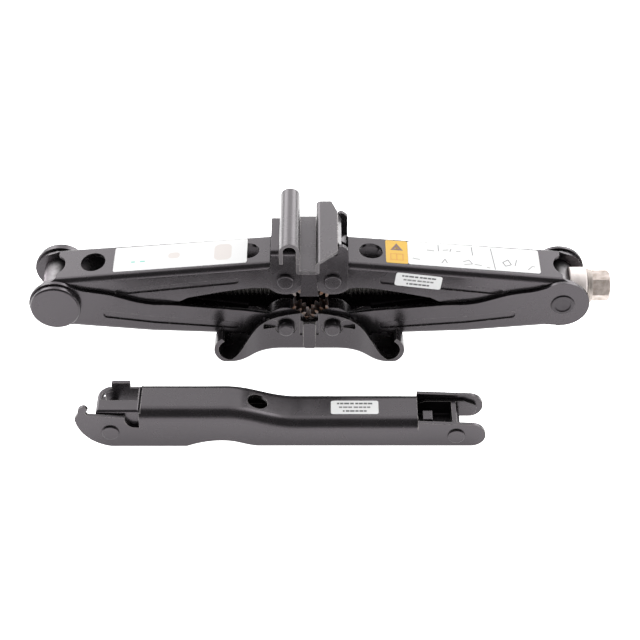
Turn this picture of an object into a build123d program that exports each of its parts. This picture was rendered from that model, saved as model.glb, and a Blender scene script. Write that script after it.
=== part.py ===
from build123d import *
import math
import os

# A scissor jack with its folding crank handle lying in front of it.
# Frame: origin on the ground under the middle of the foot, +Z up, +X towards the drive hex,
# -Y towards the crank handle.  Millimetres and degrees.

# ---- linkage ----
ARM_LENGTH = 160.0          # pivot to pivot, the same for all four arms
PIVOT_X = 16.2              # half the distance between the two pivots of the foot, or of the head
FOOT_PIVOT_Z = 20.9
SCREW_Z = 41.4              # axis of the screw and of both trunnions when folded
ARM_DROP = SCREW_Z - FOOT_PIVOT_Z
HEAD_PIVOT_Z = SCREW_Z + ARM_DROP
REST_ANGLE = math.degrees(math.asin(ARM_DROP / ARM_LENGTH))
TRUNNION_X = PIVOT_X + ARM_LENGTH * math.cos(math.radians(REST_ANGLE))

# ---- sheet and widths across Y, as half widths ----
ARM_SHEET = 2.5
PLATE_SHEET = 3.0
PIVOT_HALF = 17.2           # outside of the arms at the foot and at the head
UPPER_END_HALF = 18.4       # outside of an upper arm at its trunnion
LOWER_END_HALF = 21.2       # outside of a lower arm at its trunnion
WALL_IN = 17.5              # inside of the walls of the foot and of the head
WALL_OUT = WALL_IN + PLATE_SHEET
TOOTH_IN = 7.0              # the teeth leave this half width free for the screw

# ---- pins and bores ----
PIN_RADIUS = 5.0
RUNNING_GAP = 0.05
OPEN_PIVOT_GAP = 0.25
NUT_PIN_RADIUS = 11.5
THRUST_PIN_RADIUS = 10.0
THRUST_END_RADIUS = 8.0
SCREW_RADIUS = 6.2
PIN_HEAD_RADIUS = 6.0
BASE_PIN_HEAD = 4.5         # how far the heads of the foot's pins stand out, and the head's
HEAD_PIN_HEAD = 2.4

# ---- trunnions, as half lengths along Y ----
NUT_BODY_HALF = 21.4
NUT_SPIGOT_RADIUS = 7.5
NUT_SPIGOT_HALF = 23.8
NUT_CAP_RADIUS = 17.3
NUT_CAP_IN = 20.0           # where the bore cut from the cap for the spigot starts
NUT_CAP_HALF = 25.9
THRUST_BODY_HALF = 15.4
THRUST_END_HALF = 22.2
THRUST_DIMPLE_RADIUS = 5.6
THRUST_DIMPLE_DEPTH = 0.7

# ---- holes in the upper webs, as distances from the head pivot ----
WEB_HOLE_X = 24.8
WEB_HOLE_RADIUS = 8.25
OVAL_HOLE_X = 132.2
OVAL_HOLE_LONG = 8.6        # radii along and across the arm
OVAL_HOLE_WIDE = 9.9

# ---- toothed sectors ----
TEETH_PER_TURN = 24
TOOTH_MODULE = 2 * PIVOT_X / TEETH_PER_TURN
TIP_RADIUS = PIVOT_X + 0.85 * TOOTH_MODULE
ROOT_RADIUS = PIVOT_X - 1.25 * TOOTH_MODULE
PRESSURE_ANGLE = 20.0
TOOTH_BACKLASH = 0.16
SECTOR_TEETH = 6

# ---- foot ----
FOOT_HALF_LENGTH = 66.0
FOOT_CURL_RADIUS = 12.0
FOOT_MID_HALF = WALL_OUT
FOOT_END_HALF = 35.0
FOOT_ARM_RELIEF_Z = 9.0     # the curled ends are cut down to this height where the arms lie

# ---- head ----
RAIL_HALF_LENGTH = 30.0
RAIL_SHEET = 2.5
SLOT_FLOOR_Z = 79.4
SLOT_LEFT_X = -6.2
SLOT_RIGHT_X = 4.6
LEFT_RIDGE_X = -20.0
LEFT_RIDGE_Z = 103.4
RIGHT_RIDGE_X = 19.3
RIGHT_RIDGE_Z = 92.4
SHELF_Z = 86.6
RAIL_FRONT_Y = -32.0        # the rail's front end, and those of its two ridges
LEFT_RIDGE_FRONT_Y = -33.6
RIGHT_RIDGE_FRONT_Y = -38.4
TAB_LEAN = 66.0
TAB_SHEET = 2.4

# ---- drive end, as distances along X ----
COLLAR_START = 181.2
COLLAR_END = 192.7
COLLAR_RADIUS = 13.0
RACE_THICK = 1.2
RACE_RADIUS = 11.2
BALL_COUNT = 12
BALL_RADIUS = 1.5
BALL_CIRCLE = 8.9
BALL_GAP = 0.05
WASHER_LARGE = (192.75, 194.4, 12.3)
WASHER_SMALL = (194.4, 196.6, 11.6)
HEX_START = 196.6
HEX_END = 209.0
HEX_ACROSS_FLATS = 19.0
SCREW_LEFT_END = -184.0

# ---- crank handle ----
GRIP_BACK_Y = -87.0
GRIP_FRONT_Y = -118.5
GRIP_MIDDLE_Y = (GRIP_BACK_Y + GRIP_FRONT_Y) / 2
GRIP_SHEET = 2.5
GRIP_OUTER_HALF = (GRIP_BACK_Y - GRIP_FRONT_Y) / 2
GRIP_INNER_HALF = GRIP_OUTER_HALF - GRIP_SHEET
GRIP_BEND = 7.5             # outside radius between web and walls
GRIP_LEFT_X = -153.8
GRIP_RIGHT_X = 116.9
GRIP_BACK_WALL_X = -139.5   # left end of the back wall, which has no hook
GRIP_WEB_LEFT_X = -110.6
GRIP_WEB_RIGHT_X = 72.0
GRIP_HIGH_Z = 29.5
GRIP_HIGH_END_X = -56.0     # the web comes down between these two
GRIP_LOW_START_X = -8.0
GRIP_LOW_Z = 20.6
GRIP_FORK_Z = 19.0          # top of the right fork's walls
SOCKET_RIVET_X = -130.8
SOCKET_RIVET_Z = 12.6
ARM_RIVET_X = 97.5
ARM_RIVET_Z = 9.5
GRIP_RIVET_RADIUS = 3.0
GRIP_RIVET_HEAD = 5.7
SOCKET_LEFT_X = -140.0
SOCKET_RIGHT_X = -111.4
SOCKET_TOP_Z = 28.6
SOCKET_SHEET = 2.8
CRANK_SHEET = 2.0
CRANK_HALF = GRIP_INNER_HALF - 0.35
CRANK_LOW_Z = 2.6
CRANK_HIGH_Z = 15.8         # in the open fork; lower under the web, where the grip's bends come in
CRANK_UNDER_WEB_Z = 13.9


# ======================= small helpers =======================

def slab(sketch, y_low, y_high):
    """A plate from a sketch drawn with x along X and y along Z, between two Y values."""
    return Pos(0, y_high, 0) * Rot(90, 0, 0) * extrude(sketch, y_high - y_low)


def column(sketch, z_low, z_high):
    """A block from a sketch drawn in plan, between two heights."""
    return Pos(0, 0, z_low) * extrude(sketch, z_high - z_low)


def rod_y(x, z, radius, y_low, y_high):
    """A round bar along Y."""
    return Pos(0, y_high, 0) * Rot(90, 0, 0) * extrude(Pos(x, z) * Circle(radius), y_high - y_low)


def rod_x(x_low, x_high, radius, z=SCREW_Z):
    """A round bar along X, on the screw's axis unless told otherwise."""
    return Pos(x_low, 0, z) * Rot(0, 90, 0) * extrude(Circle(radius), x_high - x_low)


def both_sides(solid):
    """The solid and its mirror image across the XZ plane."""
    return solid + mirror(solid, Plane.XZ)


def mirror_x(solid):
    """The mirror image across the YZ plane."""
    return mirror(solid, Plane.YZ)


def outline(*parts):
    """A face inside a closed chain of lines and arcs."""
    return make_face(Curve() + list(parts))


def round_edges(solid, radius, chosen):
    """Fillet the edges that a test picks."""
    return fillet([edge for edge in solid.edges() if chosen(edge)], radius)


def channel_block(stations, corner):
    """A long block with rounded edges through cross sections given as (x, half width, low z, high z)."""
    sections = []
    for x, half, low, high in stations:
        plane = Plane(origin=(x, 0, (low + high) / 2), x_dir=(0, 1, 0), z_dir=(1, 0, 0))
        sections.append(plane * RectangleRounded(2 * half, high - low, corner))
    return loft(sections, ruled=True)


def dome_head(x, z, radius, y_face, height, side):
    """A rivet head with rounded rim standing on a wall; side is -1 for front and 1 for back."""
    low, high = sorted((y_face * side, (y_face + height) * side))
    head = rod_y(x, z, radius, low, high)
    rim_y = (y_face + height) * side
    return round_edges(head, min(height, radius) * 0.55, lambda e: abs(e.center().Y - rim_y) < 0.01)


# ======================= toothed sectors =======================

def involute_point(base_radius, radius):
    """Polar angle in degrees swept by an involute between its base circle and a radius."""
    turn = math.sqrt(max((radius / base_radius) ** 2 - 1, 0))
    return math.degrees(turn - math.atan(turn))


def tooth_face(centre_angle):
    """One involute tooth about the origin, pointing along centre_angle."""
    base_radius = PIVOT_X * math.cos(math.radians(PRESSURE_ANGLE))
    half_pitch = 90.0 / TEETH_PER_TURN - math.degrees(TOOTH_BACKLASH / PIVOT_X) / 2
    pitch_sweep = involute_point(base_radius, PIVOT_X)
    radii = [ROOT_RADIUS - 0.6]
    radii += [base_radius + (TIP_RADIUS - base_radius) * step / 4 for step in range(5)]
    right = []
    left = []
    for radius in radii:
        half = half_pitch + pitch_sweep - involute_point(base_radius, max(radius, base_radius))
        for side, flank in ((-1, right), (1, left)):
            angle = math.radians(centre_angle + side * half)
            flank.append((radius * math.cos(angle), radius * math.sin(angle)))
    return make_face(Polyline(*right, *reversed(left), close=True))


def sector_sketch(first_angle):
    """Hub disc with teeth one pitch apart, going upwards from first_angle on the side facing the mesh."""
    sketch = Circle(ROOT_RADIUS)
    for index in range(SECTOR_TEETH):
        sketch += tooth_face(first_angle - index * 360.0 / TEETH_PER_TURN)
    return sketch


# ======================= arms =======================
# Each arm is drawn along its own axis: x runs from its pivot at the foot or head (0)
# to its trunnion (ARM_LENGTH), y of the sketches is height across the arm.

LOWER_EAR = 18.5
UPPER_EAR = 17.0
BEND_OUT = 4.2              # outside radius of the bends between web and flanges
WEB_START_LOWER = 26.0
WEB_END_LOWER = 147.0
LOWER_WEB_AT_ZERO = -13.6   # outside of a lower web below the arm's axis, and its slope
LOWER_WEB_SLOPE = -0.0331
WEB_START_UPPER = 9.0
WEB_END_UPPER = 157.0
UPPER_WEB_AT_ZERO = 12.48
UPPER_WEB_SLOPE = 0.0367
GROOVE_DEPTH = 1.0
FAR = 60.0                  # beyond every part of an arm's section


def lower_half_width(x):
    """Outside half width of a lower arm at x: wide over the nested part, narrow at the foot."""
    share = min(max((x - 30) / 62, 0), 1)
    return PIVOT_HALF + share * (LOWER_END_HALF - PIVOT_HALF)


def upper_half_width(x):
    """Outside half width of an upper arm at x."""
    return PIVOT_HALF + x / ARM_LENGTH * (UPPER_END_HALF - PIVOT_HALF)


def lower_arm_side():
    """Side view of a lower arm's flange."""
    foot_edge = LOWER_WEB_AT_ZERO + 30 * LOWER_WEB_SLOPE
    body = outline(
        Polyline((0, 9.0), (14.5, 7.6), (78, 9.2)),
        Spline((78, 9.2), (100, 8.6), (126, 13.2), (150, LOWER_EAR - 2.8), tangents=[(1, 0), (1, 0.32)]),
        Polyline((150, LOWER_EAR - 2.8), (160, 10), (158, -LOWER_EAR), (148, -LOWER_EAR), (30, foot_edge),
                 (0, -10.0), (0, 9.0)),
    )
    return body + Circle(12.5) + Pos(ARM_LENGTH, 0) * Circle(LOWER_EAR)


def lower_channel(shrink, corner):
    """Block with the outside (shrink 0) or inside (shrink by the sheet) of a lower arm's channel."""
    stations = []
    for x in (-30, 30, 92, 190):
        low = LOWER_WEB_AT_ZERO + x * LOWER_WEB_SLOPE + shrink
        stations.append((x, lower_half_width(x) - shrink, low, FAR))
    return channel_block(stations, corner)


def long_groove(channel, x_low, x_high, z_low, z_high, slope):
    """A long round-ended bead pressed inwards on both flanges, as (groove to cut, bump to add)."""
    place = Pos((x_low + x_high) / 2, (z_low + z_high) / 2) * Rot(0, 0, slope)
    length = x_high - x_low
    width = z_high - z_low
    corner = BEND_OUT - ARM_SHEET
    cut = slab(place * SlotOverall(length, width), -FAR, FAR) - channel(GROOVE_DEPTH, corner)
    bump = slab(place * SlotOverall(length + 1.6, width + 1.6), -FAR, FAR) & channel(ARM_SHEET - 0.2, corner)
    return cut, bump - channel(ARM_SHEET + GROOVE_DEPTH, corner)


def toothed_hub(sketch):
    """The two toothed hubs of an arm, clear of the screw that passes between them."""
    return both_sides(slab(sketch, TOOTH_IN, PIVOT_HALF))


def lower_arm(first_tooth, pin_radius):
    """A lower arm: channel open upwards, ears outermost at the trunnion, toothed hub at the foot."""
    side = lower_arm_side()
    shell = lower_channel(0, BEND_OUT) - lower_channel(ARM_SHEET, BEND_OUT - ARM_SHEET)
    web_middle = (WEB_START_LOWER + WEB_END_LOWER) / 2
    with_web = Pos(web_middle, 0) * Rectangle(WEB_END_LOWER - WEB_START_LOWER, 2 * FAR)
    before_web = Pos(WEB_START_LOWER - FAR, 0) * Rectangle(2 * FAR, 2 * FAR)
    after_web = Pos(WEB_END_LOWER + FAR, 0) * Rectangle(2 * FAR, 2 * FAR)
    arm = shell & slab(side & with_web, -FAR, FAR)
    near = slab(side & before_web, PIVOT_HALF - ARM_SHEET, PIVOT_HALF)
    below_bend = make_face(Polyline((WEB_END_LOWER, -20), (154.5, -20), (154.5, -17.7), (WEB_END_LOWER, -16.2),
                                    close=True))
    far = slab((side & after_web) - below_bend, LOWER_END_HALF - ARM_SHEET, LOWER_END_HALF)
    arm += both_sides(near) + both_sides(far)
    arm -= column(Pos(104, 0) * SlotOverall(34, 23), -30, 0)
    groove, _ = long_groove(lower_channel, 32, 127, -7.8, -2.0, 0.8)
    arm = arm - groove + toothed_hub(sector_sketch(first_tooth))
    arm -= rod_y(0, 0, PIN_RADIUS + RUNNING_GAP, -FAR, FAR)
    arm -= rod_y(ARM_LENGTH, 0, pin_radius + RUNNING_GAP, -FAR, FAR)
    return arm


def upper_web_at(x):
    """Height of the outside of an upper web above the arm's axis."""
    return UPPER_WEB_AT_ZERO + x * UPPER_WEB_SLOPE


def upper_arm_side():
    """Side view of an upper arm's flange; the web is on its upper edge."""
    body = outline(
        Polyline((0, 13.0), (8, upper_web_at(8)), (WEB_END_UPPER, upper_web_at(WEB_END_UPPER)),
                 (164, 16.2), (160, -UPPER_EAR + 1.5), (148, -15.0), (92, -11.6), (76, -11.0), (69, -8.2),
                 (58, -7.3)),
        Spline((58, -7.3), (40, -6.0), (25, -5.7), (12, -8.0), tangents=[(-1, 0.1), (-1, -0.5)]),
        Polyline((12, -8.0), (0, -10.0), (0, 13.0)),
    )
    return body + Circle(13.0) + Pos(ARM_LENGTH, 0) * Circle(UPPER_EAR)


def upper_channel(shrink, corner):
    """Block with the outside (shrink 0) or inside (shrink by the sheet) of an upper arm's channel."""
    stations = []
    for x in (-30, 190):
        stations.append((x, upper_half_width(x) - shrink, -FAR, upper_web_at(x) - shrink))
    return channel_block(stations, corner)


def upper_arm(first_tooth, pivot_gap, pin_radius, second_hole):
    """An upper arm: channel open downwards, nested in the lower ears at the trunnion."""
    shell = upper_channel(0, BEND_OUT) - upper_channel(ARM_SHEET, BEND_OUT - ARM_SHEET)
    arm = shell & slab(upper_arm_side(), -FAR, FAR)
    ends = Pos(WEB_START_UPPER - FAR, 0) * Rectangle(2 * FAR, 2 * FAR)
    ends += Pos(WEB_END_UPPER + FAR, 0) * Rectangle(2 * FAR, 2 * FAR)
    open_half = PIVOT_HALF - ARM_SHEET
    arm -= slab(ends, -open_half, open_half)
    bite = Pos(ARM_LENGTH + 4.5, 0) * Circle(12.9) + Pos(ARM_LENGTH + 12, 0) * Rectangle(20, 25.8)
    arm -= column(bite, 5, 40)
    arm -= column(Pos(WEB_HOLE_X, 0) * Circle(WEB_HOLE_RADIUS), 5, 30)
    if second_hole:
        arm -= column(Pos(OVAL_HOLE_X, 0) * Ellipse(OVAL_HOLE_LONG, OVAL_HOLE_WIDE), 5, 30)
    groove, bump = long_groove(upper_channel, 32, 118, 0.0, 4.6, 0.8)
    arm = arm - groove + bump + toothed_hub(mirror(sector_sketch(first_tooth), Plane.XZ))
    arm -= rod_y(0, 0, PIN_RADIUS + pivot_gap, -FAR, FAR)
    arm -= rod_y(ARM_LENGTH, 0, pin_radius + RUNNING_GAP, -FAR, FAR)
    return arm


def place_lower(arm):
    """Turn an arm drawn along X to its folded position on the right of the foot."""
    return Pos(PIVOT_X, 0, FOOT_PIVOT_Z) * Rot(0, -REST_ANGLE, 0) * arm


def place_upper(arm):
    """Turn an arm drawn along X to its folded position on the right of the head."""
    return Pos(PIVOT_X, 0, HEAD_PIVOT_Z) * Rot(0, REST_ANGLE, 0) * arm


def make_arms():
    """The four arms; the left sectors carry a gap where the right ones carry a tooth."""
    mesh = 180.0 - REST_ANGLE
    half_pitch = 180.0 / TEETH_PER_TURN
    return {
        "lower_arm_right": place_lower(lower_arm(mesh, THRUST_END_RADIUS)),
        "lower_arm_left": mirror_x(place_lower(lower_arm(mesh + half_pitch, NUT_PIN_RADIUS))),
        "upper_arm_right": place_upper(upper_arm(mesh, OPEN_PIVOT_GAP, THRUST_END_RADIUS, False)),
        "upper_arm_left": mirror_x(place_upper(
            upper_arm(mesh + half_pitch, RUNNING_GAP, NUT_PIN_RADIUS, True))),
    }


# ======================= foot =======================

def foot_plan(shrink):
    """Plan of the foot: narrow in the middle and flared towards both ends."""
    mid = FOOT_MID_HALF - shrink
    end = FOOT_END_HALF - shrink
    quarter = [Line((0, mid), (18, mid)),
               Spline((18, mid), (36, mid + 4.4), (56, end), tangents=[(1, 0), (1, 0)]),
               Line((56, end), (80, end))]
    edges = []
    for piece in quarter:
        for half in (piece, mirror(piece, Plane.YZ)):
            edges += [half, mirror(half, Plane.XZ)]
    edges += [Line((80, -end), (80, end)), Line((-80, -end), (-80, end))]
    return make_face(Curve() + edges)


def foot_curl():
    """The turned-up end of the sole, in side view, on the right."""
    centre_x = FOOT_HALF_LENGTH - FOOT_CURL_RADIUS
    ring = Circle(FOOT_CURL_RADIUS) - Circle(FOOT_CURL_RADIUS - PLATE_SHEET)
    sweep = 58
    far = 3 * FOOT_CURL_RADIUS
    tip = (far * math.cos(math.radians(sweep)), far * math.sin(math.radians(sweep)))
    sector = make_face(Polyline((0, 0), (0, -far), (far, -far), (far, 0), tip, close=True))
    return Pos(centre_x, FOOT_CURL_RADIUS) * (ring & sector)


def foot_wall_side():
    """Side view of the front and back walls, highest over the pivots."""
    toe_x = 55.5
    top = Spline((0, 32.8), (9, 32.6), (20, 30.2), (30, 27.0), (37, 23.0), (42.5, 17.0), (47.5, 9.8),
                 (toe_x, 2.6))
    rest = Polyline((toe_x, 2.6), (toe_x, 0), (0, 0), (0, 32.8))
    half = make_face(Curve() + [top, rest])
    return half + mirror(half, Plane.YZ)


def make_base_plate():
    """Pressed foot: sole with curled ends, two walls, pivot bosses and a stiffening rib on each wall."""
    block = column(foot_plan(0), 0, 60)
    block = round_edges(block, 2.6, lambda e: abs(e.center().Z) < 0.01 and abs(e.center().Y) > 15)
    centre_x = FOOT_HALF_LENGTH - FOOT_CURL_RADIUS
    sole = Pos(0, PLATE_SHEET / 2) * Rectangle(2 * centre_x, PLATE_SHEET)
    sole = sole + foot_curl() + mirror(foot_curl(), Plane.YZ)
    foot = block & slab(sole, -60, 60)
    wall = (block - column(foot_plan(PLATE_SHEET), -1, 61)) & slab(foot_wall_side(), -60, 60)
    wall -= both_sides(slab(Pos(0, 35.2) * RectangleRounded(12.4, 20, 2.0), WALL_IN - 4, WALL_OUT + 4))
    foot += wall
    reach = FOOT_CURL_RADIUS + 14
    relief = Pos(0, 0, FOOT_ARM_RELIEF_Z + 20) * Box(2 * (centre_x + reach), 2 * 23.0, 40)
    relief -= Pos(0, 0, 20) * Box(2 * (centre_x - 6), 100, 80)
    foot -= relief
    rib = slab(Pos(0, 13.4) * RectangleRounded(8.6, 22.6, 1.8), WALL_OUT - 0.5, WALL_OUT + 1.1)
    foot += both_sides(rib)
    for x in (-PIVOT_X, PIVOT_X):
        foot -= rod_y(x, FOOT_PIVOT_Z, PIN_RADIUS, -60, 60)
        foot -= both_sides(rod_y(x, FOOT_PIVOT_Z, 7.6, WALL_OUT - 0.6, WALL_OUT + 4))
    for x in (-26.9, 26.9):
        dimple = Pos(x, 22.6) * Circle(5.2) - Pos(x, 18.0) * Rectangle(14, 5)
        foot -= both_sides(slab(dimple, WALL_OUT - 0.9, WALL_OUT + 4))
    for x in (-5.6, 5.6):
        nick = Pos(x, 19.6) * SlotOverall(12.5, 2.2, rotation=90)
        foot -= both_sides(slab(nick, WALL_OUT - 0.9, WALL_OUT + 4))
    return foot


# ======================= head =======================

def ear_sketch():
    """Side view of the head bracket's front plate: two pivot ears, their bridge and the notch."""
    left_top = SHELF_Z
    left = make_face(Polyline((-26, left_top), (-26, 57), (-21, 51.9), (-11.5, 51.9), (-6.0, 57.5),
                              (-5.0, 63), (-9.0, 76.7), (-9.0, left_top), close=True))
    left = fillet(left.vertices().filter_by(lambda v: v.Y < 58), 4.0)
    right = make_face(Polyline((5.4, 76.7), (5.4, 67.5), (10.2, 56.0), (14, 51.9), (21.5, 51.9),
                               (26.4, 56.6), (26.4, 88.2), (23.2, 91.2), (20.2, 91.2), (17.6, 86.2),
                               (8.4, 85.4), (7.3, 76.7), close=True))
    right = fillet(right.vertices().filter_by(lambda v: v.Y < 57 or v.Y > 85), 1.9)
    right -= Pos(17.0, 85.9) * Circle(2.7)
    bridge = Pos(0, 68.6) * Rectangle(24, 16.2)
    return left + right + bridge


def make_head_bracket():
    """Inverted-U bracket: shelf on the left, a front and a back plate, and a sloping front tab."""
    plates = both_sides(slab(ear_sketch(), WALL_IN, WALL_OUT))
    shelf = Pos(-17.5, 0, SHELF_Z - PLATE_SHEET / 2) * Box(17, 2 * WALL_OUT, PLATE_SHEET)
    bracket = plates + shelf
    bracket = round_edges(bracket, 3.2, lambda e: abs(e.center().Z - SHELF_Z) < 0.01
                          and abs(abs(e.center().Y) - WALL_OUT) < 0.01 and e.length > 8)
    tab = make_face(Polyline((-4.4, 0), (-6.4, -16.4), (6.4, -16.4), (4.4, 0), close=True))
    tab = Pos(0, -WALL_OUT + 0.4, 68.4) * Rot(TAB_LEAN, 0, 0) * extrude(tab, -TAB_SHEET)
    bracket += tab + mirror(tab, Plane.XZ)
    for x in (-PIVOT_X, PIVOT_X):
        bracket -= rod_y(x, HEAD_PIVOT_Z, PIN_RADIUS, -40, 40)
    return bracket


def make_saddle_rail():
    """M-shaped rail along Y: a tall ridge, the slot that takes the sill flange, and a low ridge."""
    leg_out = (SLOT_LEFT_X - LEFT_RIDGE_X) / 2
    arch_x = LEFT_RIDGE_X + leg_out
    arch_z = LEFT_RIDGE_Z - leg_out
    ridge = Pos(arch_x, arch_z) * Circle(leg_out)
    ridge += Pos(arch_x, (arch_z + SHELF_Z) / 2) * Rectangle(2 * leg_out, arch_z - SHELF_Z)
    leg_in = leg_out - RAIL_SHEET
    ridge -= Pos(arch_x, arch_z) * Circle(leg_in)
    ridge -= Pos(arch_x, (arch_z + SHELF_Z) / 2 - 5) * Rectangle(2 * leg_in, arch_z - SHELF_Z + 10)
    floor_low = SLOT_FLOOR_Z - RAIL_SHEET
    channel = make_face(Polyline(
        (SLOT_LEFT_X - RAIL_SHEET, SHELF_Z + 1), (SLOT_LEFT_X - RAIL_SHEET, floor_low),
        (SLOT_RIGHT_X + RAIL_SHEET, floor_low), (SLOT_RIGHT_X + RAIL_SHEET, RIGHT_RIDGE_Z - RAIL_SHEET),
        (RIGHT_RIDGE_X, RIGHT_RIDGE_Z - RAIL_SHEET), (RIGHT_RIDGE_X, RIGHT_RIDGE_Z),
        (SLOT_RIGHT_X, RIGHT_RIDGE_Z), (SLOT_RIGHT_X, SLOT_FLOOR_Z), (SLOT_LEFT_X, SLOT_FLOOR_Z),
        (SLOT_LEFT_X, SHELF_Z + 1), close=True))
    rail = slab(channel, RIGHT_RIDGE_FRONT_Y, RAIL_HALF_LENGTH)
    rail -= Pos(SLOT_RIGHT_X - 20, RAIL_FRONT_Y - 20, SHELF_Z) * Box(40, 40, 40)
    rail -= Pos(SLOT_RIGHT_X, RAIL_FRONT_Y - 20, SLOT_FLOOR_Z - 4) * Box(20, 40, 16)
    rail += slab(ridge, LEFT_RIDGE_FRONT_Y, RAIL_HALF_LENGTH)
    rail = round_edges(rail, 3.4, lambda e: e.length > 50 and abs(e.center().X - SLOT_RIGHT_X) < 0.01
                       and e.center().Z > RIGHT_RIDGE_Z - 0.01)
    rail = round_edges(rail, 1.6, lambda e: e.length > 50 and e.center().Z < floor_low + 0.01)
    lip = make_face(Polyline((RIGHT_RIDGE_X - 1.6, RIGHT_RIDGE_Z), (RIGHT_RIDGE_X + 0.4, RIGHT_RIDGE_Z - 0.4),
                             (RIGHT_RIDGE_X + 2.6, RIGHT_RIDGE_Z - 4.6),
                             (RIGHT_RIDGE_X + 0.4, RIGHT_RIDGE_Z - 5.0),
                             (RIGHT_RIDGE_X - 1.6, RIGHT_RIDGE_Z - RAIL_SHEET), close=True))
    rail += slab(lip, -16.6, 16.6)
    back = make_face(Polyline((15.0, 31), (RIGHT_RIDGE_X + 0.1, 18.0), (40, 18.0), (40, 31), close=True))
    front = make_face(Polyline((SLOT_RIGHT_X + 2, RIGHT_RIDGE_FRONT_Y), (RIGHT_RIDGE_X + 0.1, -26.0),
                               (40, -26.0), (40, -50), (SLOT_RIGHT_X + 2, -50), close=True))
    rail -= column(back + front, RIGHT_RIDGE_Z - 20, RIGHT_RIDGE_Z + 5)
    return rail


# ======================= trunnions and drive =======================

def make_nut_trunnion():
    """Cross pin on the left, bored for the screw, with a spigot for a cap at each end."""
    pin = rod_y(-TRUNNION_X, SCREW_Z, NUT_PIN_RADIUS, -NUT_BODY_HALF, NUT_BODY_HALF)
    pin += rod_y(-TRUNNION_X, SCREW_Z, NUT_SPIGOT_RADIUS, -NUT_SPIGOT_HALF, NUT_SPIGOT_HALF)
    return pin - rod_x(-TRUNNION_X - 20, -TRUNNION_X + 20, SCREW_RADIUS + RUNNING_GAP)


def make_nut_cap(side):
    """Round cap pressed on the end of the nut trunnion; side is -1 for front and 1 for back."""
    low, high = sorted((NUT_BODY_HALF * side, NUT_CAP_HALF * side))
    cap = rod_y(-TRUNNION_X, SCREW_Z, NUT_CAP_RADIUS, low, high)
    cap = round_edges(cap, 1.6, lambda e: abs(e.center().Y - NUT_CAP_HALF * side) < 0.01)
    low, high = sorted((NUT_CAP_IN * side, NUT_SPIGOT_HALF * side))
    return cap - rod_y(-TRUNNION_X, SCREW_Z, NUT_SPIGOT_RADIUS, low, high)


def make_thrust_trunnion():
    """Cross pin on the right that takes the push of the drive end, with formed ends."""
    pin = rod_y(TRUNNION_X, SCREW_Z, THRUST_PIN_RADIUS, -THRUST_BODY_HALF, THRUST_BODY_HALF)
    pin += rod_y(TRUNNION_X, SCREW_Z, THRUST_END_RADIUS, -THRUST_END_HALF, THRUST_END_HALF)
    pin = round_edges(pin, 0.6, lambda e: abs(abs(e.center().Y) - THRUST_END_HALF) < 0.01)
    dimple_start = THRUST_END_HALF - THRUST_DIMPLE_DEPTH
    pin -= both_sides(rod_y(TRUNNION_X, SCREW_Z, THRUST_DIMPLE_RADIUS, dimple_start, dimple_start + 2))
    return pin - rod_x(TRUNNION_X - 20, TRUNNION_X + 20, SCREW_RADIUS + RUNNING_GAP)


def make_bearing_collar():
    """Collar seated on the thrust trunnion, hollowed for the ball race."""
    cup_start = COLLAR_END - 2 * RACE_THICK - 2 * BALL_RADIUS - 2 * BALL_GAP
    collar = rod_x(COLLAR_START, COLLAR_END, COLLAR_RADIUS)
    collar = round_edges(collar, 1.2, lambda e: abs(e.center().X - COLLAR_END) < 0.01)
    collar -= rod_y(TRUNNION_X, SCREW_Z, THRUST_PIN_RADIUS, -20, 20)
    collar -= rod_x(cup_start, COLLAR_END + 1, RACE_RADIUS + 0.2)
    return collar - rod_x(COLLAR_START - 1, COLLAR_END + 1, SCREW_RADIUS + 0.4)


def make_race(start, inner_radius, outer_radius, thickness):
    """Flat hardened ring of the ball race."""
    end = start + thickness
    return rod_x(start, end, outer_radius) - rod_x(start - 1, end + 1, inner_radius)


def make_balls(centre_x):
    """The balls of the race, evenly spaced round the screw."""
    balls = []
    for index in range(BALL_COUNT):
        angle = 2 * math.pi * index / BALL_COUNT
        place = Pos(centre_x, BALL_CIRCLE * math.cos(angle), SCREW_Z + BALL_CIRCLE * math.sin(angle))
        balls.append(place * Sphere(BALL_RADIUS))
    return Compound(children=balls)


def make_washer(size):
    """Plain washer on the screw, from (start, end, radius)."""
    start, end, radius = size
    ring = make_race(start, SCREW_RADIUS, radius, end - start)
    return round_edges(ring, 0.35, lambda e: e.length > 2 * math.pi * (radius - 0.1))


def make_drive_hex():
    """Hexagonal head that the crank turns, with a turned chamfer on its outer end."""
    corner_radius = HEX_ACROSS_FLATS / math.sqrt(3)
    prism = Pos(HEX_START, 0, SCREW_Z) * Rot(0, 90, 0) * extrude(
        RegularPolygon(corner_radius, 6, rotation=30), HEX_END - HEX_START)
    turned = rod_x(HEX_START, HEX_END, corner_radius + 0.05)
    turned = chamfer([e for e in turned.edges() if abs(e.center().X - HEX_END) < 0.01], 1.5)
    return (prism & turned) - rod_x(HEX_START - 1, HEX_END - 3.5, SCREW_RADIUS)


def make_pin(x, z, head_height):
    """Riveted pivot pin through both walls, with a domed head at each end."""
    pin = rod_y(x, z, PIN_RADIUS, -WALL_OUT, WALL_OUT)
    for side in (-1, 1):
        pin += dome_head(x, z, PIN_HEAD_RADIUS, WALL_OUT, head_height, side)
    return pin


# ======================= crank handle =======================

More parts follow.
